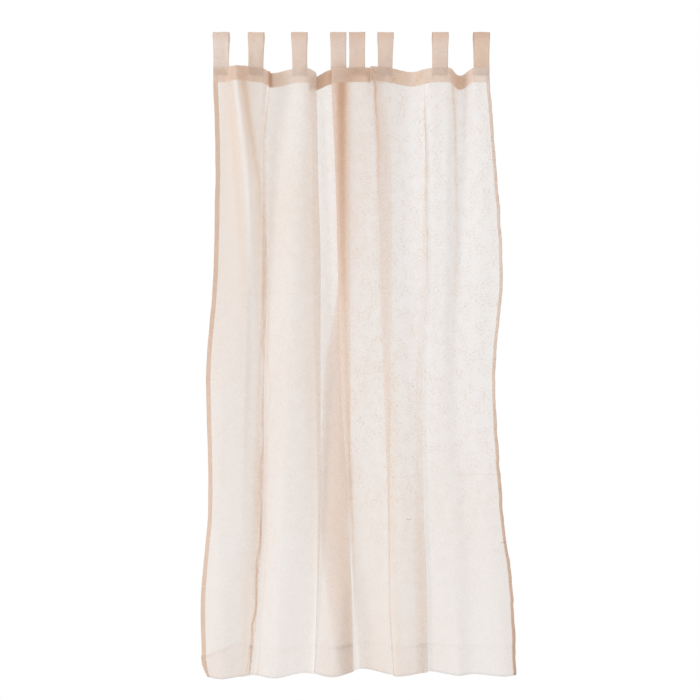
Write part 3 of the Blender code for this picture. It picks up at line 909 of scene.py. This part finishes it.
def turned_columns(cloth, plan):
    """Give a row's columns with both side hems turned back twice, and how far back each lies."""
    face = cloth.columns(plan)
    turned = np.array(TURNED_COLUMNS)
    back = np.array([1, 1, 1, 2, 2, 2]) * cloth.sizes.ply_gap
    left = turned * cloth.sizes.side_hem
    right = plan.length - turned[::-1] * cloth.sizes.right_hem
    along = np.concatenate([left, face, right])
    return along, np.concatenate([back, np.zeros(len(face)), back[::-1]])


def panel_rows(sizes):
    """Give the depth of each row of the panel and the plies that it lies behind the face.

    The rows run from the inner edge of the bottom hem down, round its fold and up the face.
    """
    drop = sizes.cloth_drop
    hem = sizes.bottom_hem
    lower = sizes.heading_depth + 0.0004
    face = [*TOP_ROWS, sizes.heading_depth, lower]
    open_rows = int((drop - hem - lower) / sizes.row_step)
    face += list(np.linspace(lower, drop - hem, open_rows + 1)[1:])
    face += list(np.linspace(drop - hem, drop, 9)[1:])
    turned = [(drop - hem + 0.012, 1), (drop - hem, 1), (drop - hem, 2)]
    turned += [(depth, 2) for depth in np.linspace(drop - hem, drop, 8)[1:]]
    return turned + [(depth, 0) for depth in reversed(face)]


def settings(context):
    """Give the curtain's sizes and colours, and the cloth as it hangs."""
    sizes = context.scene.curtain_sizes
    return sizes, context.scene.curtain_colours, HungCloth(sizes)


class CURTAIN_OT_hang_panel(bpy.types.Operator):
    """Hang the sheer panel in its gathers, with its side hems and bottom hem turned"""

    bl_idname = "curtain.hang_panel"
    bl_label = "Hang the panel"

    def execute(self, context):
        sizes, colours, cloth = settings(context)
        drop = sizes.cloth_drop
        hem = sizes.bottom_hem
        rows = []
        uvs = []
        crowds = []
        tones = []
        for depth, plies in panel_rows(sizes):
            plan = cloth.plan(depth)
            below_heading = depth > sizes.heading_depth
            along, back = turned_columns(cloth, plan)
            row = cloth.points(plan, along, depth, back + plies * sizes.ply_gap)
            dense = density_at(sizes, plan, along, depth)
            # The tones carry painted shade and highlights along with the cloth's warmth
            warmth_and_shade, lines = tones_at(sizes, plan, along, depth)
            crowd = crowding_at(plan, along, below_heading) * (1 + dense)
            # The painted soft shades: plies added to darken the cloth, and taken away to lighten it
            crowd += shade_at(sizes, plan, along, depth) + LINE_PLIES * lines
            crowd[np.r_[0:6, -6:0]] *= BEHIND_PLIES
            if plies:
                lift = sum(high * np.exp(-((along - at) / reach) ** 2) for high, at, reach in HEM_LIFTS)
                row[:, 2] += lift * min((drop - depth) / hem, 1)
                least, more, reach = TURNED_PLIES
                crowd *= least + more * np.exp(-(along / reach) ** 2)
            rows.append(row)
            uvs.append(weave_row(along, depth))
            crowds.append(crowd)
            tones.append(warmth_and_shade + HEM_TONE * np.maximum(dense, 0) * below_heading)
        panel = sheet_grid("panel_cloth", rows, uvs, crowds, tones)
        finish = woven_finish("sheer weave", colours, colours.panel_open, 0.5, 0.0012)
        panel.data.materials.append(finish)
        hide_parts("curtain_panel")
        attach(panel, "root")
        return {"FINISHED"}


class CURTAIN_OT_sew_facing(bpy.types.Operator):
    """Sew the facing behind the heading"""

    bl_idname = "curtain.sew_facing"
    bl_label = "Sew the facing"

    def execute(self, context):
        sizes, colours, cloth = settings(context)
        along = cloth.columns(cloth.top)
        depths = [sizes.heading_depth, *reversed(FACING_ROWS)]
        rows = [cloth.points(cloth.top, along, depth, FACING_BACK) for depth in depths]
        uvs = [weave_row(along, depth) for depth in depths]
        crowds = [crowding_at(cloth.top, along, soft=False) * FACING_PLIES] * len(depths)
        tones = [tones_at(sizes, cloth.top, along, 0)[0]] * len(depths)
        facing = sheet_grid("heading_facing", rows, uvs, crowds, tones)
        finish = woven_finish("facing weave", colours, colours.panel_open, 0.4, 0.0014)
        facing.data.materials.append(finish)
        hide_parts("heading_band")
        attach(facing, "root")
        return {"FINISHED"}


def rod_places(sizes, top):
    """Slide the loops along the rod until neighbours no longer overlap."""
    places = [float(top.at(np.array([centre]))[0][0]) for centre in loop_centres(sizes)]
    least = sizes.loop_width + 0.001
    for _ in range(sizes.loop_count):
        for i in range(sizes.loop_count - 1):
            short = least - (places[i + 1] - places[i])
            if short > 0:
                places[i] -= short / 2
                places[i + 1] += short / 2
    return places


def loop_rows(sizes, front_foot, front_edge, back_edge, back_foot, centre, seed):
    """Give the rows of a loop from its front end, over the rod, to its back end."""
    radius = sizes.rod_diameter / 2 + ROD_CLEARANCE
    count = len(front_edge)
    mean_y = (front_edge[:, 1].mean() + back_edge[:, 1].mean()) / 2
    lean = math.atan2(-mean_y, sizes.loop_reach)
    opening = math.acos(radius / math.hypot(mean_y, sizes.loop_reach))
    start = lean + opening
    end = 2 * math.pi + lean - opening
    width = sizes.loop_width - 0.001
    rows = [front_foot, front_foot * 0.45 + front_edge * 0.55, front_edge]
    over = []
    for step in range(LOOP_ARC_STEPS + 1):
        angle = start + (end - start) * step / LOOP_ARC_STEPS
        row = []
        for k in range(count):
            offset = width * (k / (count - 1) - 0.5)
            swell = 0.0009 * noise.noise(Vector((k / count * 2.2, step * 0.25, seed)))
            out = radius + swell
            row.append((centre + offset, -out * math.sin(angle), -out * math.cos(angle)))
        over.append(np.array(row))
    legs = [[], []]
    for leg, (low, high) in enumerate(((front_edge, over[0]), (back_edge, over[-1]))):
        for step in range(1, LOOP_LEG_STEPS):
            share = step / LOOP_LEG_STEPS
            eased = share + 0.12 * math.sin(2 * math.pi * share) / (2 * math.pi)
            row = low + (high - low) * eased
            swell = math.sin(math.pi * share)
            for k in range(count):
                dent = noise.noise(Vector((k / count * 2.4, step * 0.42, seed + 7 * leg)))
                row[k, 1] += 0.0022 * swell * dent
                row[k, 0] -= 0.0010 * swell * (2 * k / (count - 1) - 1)
            legs[leg].append(row)
    rows += legs[0] + over + legs[1][::-1]
    return rows + [back_edge, back_foot * 0.45 + back_edge * 0.55, back_foot]


class CURTAIN_OT_lead_loops(bpy.types.Operator):
    """Lead each loop from the heading over the rod and back"""

    bl_idname = "curtain.lead_loops"
    bl_label = "Lead the loops"

    def execute(self, context):
        sizes, colours, cloth = settings(context)
        top = cloth.top
        finish = woven_finish("loop weave", colours, colours.loop_open, 0.35, 0.0014)
        for number, (sewn, hung) in enumerate(zip(loop_centres(sizes), rod_places(sizes, top)), 1):
            half = sizes.loop_width / 2 - 0.0005
            along = np.linspace(sewn - half, sewn + half, LOOP_COLUMNS)
            ends = [
                cloth.points(top, along, depth, back, rough=False)
                for depth, back in (
                    (sizes.loop_tuck, LOOP_FRONT), (0.0, LOOP_FRONT),
                    (0.0, LOOP_BACK), (sizes.loop_tuck, LOOP_BACK),
                )
            ]
            rows = loop_rows(sizes, *ends, hung, 11.0 * number)
            runs = [0.0]
            for before, after in zip(rows, rows[1:]):
                runs.append(runs[-1] + float(np.linalg.norm(after - before, axis=1).mean()))
            uvs = [weave_row(along, run + number) for run in runs]
            side = SIDE_PLIES * (np.abs(along - sewn) - (half - LOOP_SIDE)).clip(0) / LOOP_SIDE
            own = LOOP_TONE + LOOP_TONES[(number - 1) % len(LOOP_TONES)]
            crowds = []
            warmth_and_shade = []
            for row in rows:
                height = float(row[:, 2].mean())
                # Painted shade of the rod: the cloth round it grows denser and warmer
                near, crest = (
                    min(max((height - start) / reach, 0), 1) for start, reach in (ROD_SHADE_HEIGHTS, CREST)
                )
                crowds.append(LOOP_PLIES + near + CREST_PLIES * crest + side)
                warmth_and_shade.append(own + ROD_SHADE_TONE * near + CREST_TONE * crest + SIDE_TONE * side)
            loop = sheet_grid(f"loop_{number}", rows, uvs, crowds, warmth_and_shade)
            plies = loop.modifiers.new("plies", "SOLIDIFY")
            plies.thickness = LOOP_THICKNESS
            plies.offset = -1
            bpy.ops.object.modifier_apply(modifier=plies.name)
            loop.data.materials.append(finish)
            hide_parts(f"tab_loop_{number}")
            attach(loop, "root")
        return {"FINISHED"}


def thread_runs(name, runs, radius, colour):
    """Lay short round threads between pairs of points, as one object."""
    bpy.ops.object.select_all(action="DESELECT")
    bpy.ops.mesh.primitive_cylinder_add(vertices=5, radius=radius, depth=1)
    thread = bpy.context.active_object
    thread.name = name
    single = thread.data
    shape = bmesh.new()
    for start, end in runs:
        run = Vector(end) - Vector(start)
        turn = run.to_track_quat("Z", "X").to_matrix().to_4x4()
        middle = (Vector(start) + Vector(end)) / 2
        place = Matrix.Translation(middle) @ turn @ Matrix.Diagonal((1, 1, run.length, 1))
        first = len(shape.verts)
        shape.from_mesh(single)
        shape.verts.ensure_lookup_table()
        bmesh.ops.transform(shape, matrix=place, verts=shape.verts[first:])
    shape.to_mesh(single)
    shape.free()
    single.shade_smooth()
    finish = bpy.data.materials.new(name.replace("_", " "))
    finish.use_nodes = True
    tree = finish.node_tree
    shader = tree.nodes["Principled BSDF"]
    shader.inputs["Roughness"].default_value = 0.6
    place = add_node(tree, "ShaderNodeTexCoord")
    twist = add_node(tree, "ShaderNodeTexNoise", {"Scale": 900})
    ramp = add_node(tree, "ShaderNodeValToRGB")
    ramp.color_ramp.elements[0].color = (*[0.85 * c for c in colour], 1)
    ramp.color_ramp.elements[1].color = (*[min(1.1 * c, 1) for c in colour], 1)
    link = tree.links.new
    link(place.outputs["Object"], twist.inputs["Vector"])
    link(twist.outputs["Fac"], ramp.inputs["Fac"])
    link(ramp.outputs["Color"], shader.inputs["Base Color"])
    single.materials.append(finish)
    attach(thread, "root")
    return thread


class CURTAIN_OT_stitch_seams(bpy.types.Operator):
    """Sew the hems and the heading with running stitches"""

    bl_idname = "curtain.stitch_seams"
    bl_label = "Stitch the seams"

    def execute(self, context):
        sizes, colours, cloth = settings(context)
        crosswise = []
        for depth in (sizes.heading_depth - SEAM_INSET, sizes.cloth_drop - sizes.bottom_hem + SEAM_INSET):
            plan = cloth.plan(depth)
            starts = np.arange(0.002, plan.length - 0.005, STITCH_PITCH)
            ends = cloth.points(plan, starts + STITCH_LENGTH, depth, STITCH_HEIGHT)
            crosswise.append(list(zip(cloth.points(plan, starts, depth, STITCH_HEIGHT), ends)))
        seams = crosswise[0]
        for depth in np.arange(0.003, sizes.cloth_drop - 0.004, STITCH_PITCH):
            plan = cloth.plan(depth)
            along = np.array([
                sizes.side_hem - SIDE_SEAM_INSET, plan.length - sizes.right_hem + SIDE_SEAM_INSET
            ])
            for start in cloth.points(plan, along, depth, STITCH_HEIGHT):
                seams.append((start, start + (0, 0, -STITCH_LENGTH)))
        thread_runs("seam_stitches", seams, SEAM_RADIUS, colours.seam_thread)
        thread_runs("bottom_hem_stitches", crosswise[1], HEM_SEAM_RADIUS, colours.seam_thread)
        return {"FINISHED"}


class CURTAIN_OT_pull_threads(bpy.types.Operator):
    """Pull the few threads that stand out of the worn cloth"""

    bl_idname = "curtain.pull_threads"
    bl_label = "Pull the threads"

    def execute(self, context):
        _, colours, cloth = settings(context)
        pulled = []
        for depth, across, reach, dip in PULLED_THREADS:
            plan = cloth.plan(depth)
            front = (plan.places > PULLED_FROM) & (plan.places < plan.places[-1])
            order = np.argsort(plan.line[front, 0])
            along = np.interp(across, plan.line[front, 0][order], plan.along[front][order])
            places = along + np.linspace(0, reach, PULLED_STEPS)
            lows = depth + dip * np.sin(np.linspace(0, math.pi, PULLED_STEPS))
            points = [
                cloth.points(plan, np.array([place]), low, PULLED_HEIGHT)[0]
                for place, low in zip(places, lows)
            ]
            pulled += list(zip(points, points[1:]))
        thread_runs("pulled_threads", pulled, PULLED_RADIUS, colours.pulled_thread)
        return {"FINISHED"}


class CURTAIN_OT_set_stage(bpy.types.Operator):
    """Set the floor, the white surround, the soft lamps and the camera"""

    bl_idname = "curtain.set_stage"
    bl_label = "Set the stage"

    def execute(self, context):
        stage = context.scene.curtain_stage
        scene = context.scene
        bpy.ops.object.select_all(action="DESELECT")
        bpy.ops.mesh.primitive_plane_add(size=14, location=(0, 0, stage.floor_height))
        floor = bpy.context.active_object
        floor.name = "studio_floor"
        paint = bpy.data.materials.new("floor paint")
        paint.use_nodes = True
        add = partial(add_node, paint.node_tree)
        link = paint.node_tree.links.new
        matt = paint.node_tree.nodes["Principled BSDF"]
        matt.inputs["Base Color"].default_value = (0.9, 0.9, 0.9, 1)
        matt.inputs["Roughness"].default_value = 0.9
        white = add("ShaderNodeEmission")
        path = add("ShaderNodeLightPath")
        place = add("ShaderNodeTexCoord")
        spread = add("ShaderNodeVectorMath", operation="LENGTH")
        fade = add(
            "ShaderNodeMapRange", {"From Min": 0.1, "From Max": 0.52, "To Min": 0.5},
            interpolation_type="SMOOTHSTEP",
        )
        share = add("ShaderNodeMath", operation="MULTIPLY")
        mix = add("ShaderNodeMixShader")
        link(place.outputs["Object"], spread.inputs[0])
        link(spread.outputs["Value"], fade.inputs["Value"])
        link(fade.outputs["Result"], share.inputs[0])
        link(path.outputs["Is Camera Ray"], share.inputs[1])
        link(share.outputs[0], mix.inputs["Fac"])
        link(matt.outputs[0], mix.inputs[1])
        link(white.outputs[0], mix.inputs[2])
        link(mix.outputs[0], paint.node_tree.nodes["Material Output"].inputs["Surface"])
        floor.data.materials.append(paint)

        world = bpy.data.worlds.new("white studio")
        world.use_nodes = True
        world.node_tree.nodes.clear()
        add = partial(add_node, world.node_tree)
        link = world.node_tree.links.new
        seen = add("ShaderNodeBackground", {"Color": (1, 1, 1, 1)})
        around = add("ShaderNodeBackground", {"Color": (1, 1, 1, 1), "Strength": stage.surround})
        path = add("ShaderNodeLightPath")
        mix = add("ShaderNodeMixShader")
        out = add("ShaderNodeOutputWorld")
        link(path.outputs["Is Camera Ray"], mix.inputs["Fac"])
        link(around.outputs[0], mix.inputs[1])
        link(seen.outputs[0], mix.inputs[2])
        link(mix.outputs[0], out.inputs["Surface"])
        scene.world = world

        aim = Vector((0, 0, stage.camera_height))
        lamps = (
            ("key_lamp", (-6.0, -3.5, -0.4), 2.0, stage.key_watts),
            ("fill_lamp", (2.4, -2.8, -0.6), 1.8, stage.fill_watts),
        )
        for name, place, width, watts in lamps:
            bpy.ops.object.light_add(type="AREA", location=place)
            lamp = bpy.context.active_object
            lamp.name = name
            lamp.data.shape = "SQUARE"
            lamp.data.size = width
            lamp.data.energy = watts
            lamp.rotation_euler = (aim - Vector(place)).to_track_quat("-Z", "Y").to_euler()

        bpy.ops.object.camera_add(
            location=(0, -stage.camera_distance, stage.camera_height), rotation=(math.pi / 2, 0, 0)
        )
        camera = bpy.context.active_object
        camera.name = "studio_camera"
        camera.data.sensor_width = 36
        camera.data.lens = 36 * stage.camera_distance / stage.frame_width
        camera.data.shift_x = -0.0019
        scene.camera = camera
        scene.view_settings.view_transform = "Standard"
        return {"FINISHED"}


class CURTAIN_PT_sidebar(bpy.types.Panel):
    """The curtain's pieces, sizes and colours"""

    bl_label = "Curtain"
    bl_space_type = "VIEW_3D"
    bl_region_type = "UI"
    bl_category = "Curtain"

    def draw(self, context):
        layout = self.layout
        for operator in OPERATORS:
            layout.operator(operator.bl_idname)
        for group in (
            context.scene.curtain_sizes, context.scene.curtain_colours, context.scene.curtain_stage
        ):
            box = layout.box()
            for name in group.__class__.__annotations__:
                box.prop(group, name)


GROUPS = (CurtainSizes, CurtainColours, CurtainStage)
OPERATORS = (
    CURTAIN_OT_hang_panel,
    CURTAIN_OT_sew_facing,
    CURTAIN_OT_lead_loops,
    CURTAIN_OT_stitch_seams,
    CURTAIN_OT_pull_threads,
    CURTAIN_OT_set_stage,
)


def register():
    for part in (*GROUPS, *OPERATORS, CURTAIN_PT_sidebar):
        bpy.utils.register_class(part)
    bpy.types.Scene.curtain_sizes = PointerProperty(type=CurtainSizes)
    bpy.types.Scene.curtain_colours = PointerProperty(type=CurtainColours)
    bpy.types.Scene.curtain_stage = PointerProperty(type=CurtainStage)


def unregister():
    del bpy.types.Scene.curtain_stage
    del bpy.types.Scene.curtain_colours
    del bpy.types.Scene.curtain_sizes
    for part in reversed((*GROUPS, *OPERATORS, CURTAIN_PT_sidebar)):
        bpy.utils.unregister_class(part)


def main():
    register()
    bpy.ops.curtain.hang_panel()
    bpy.ops.curtain.sew_facing()
    bpy.ops.curtain.lead_loops()
    bpy.ops.curtain.stitch_seams()
    bpy.ops.curtain.pull_threads()
    bpy.ops.curtain.set_stage()


if __name__ == "__main__":
    main()
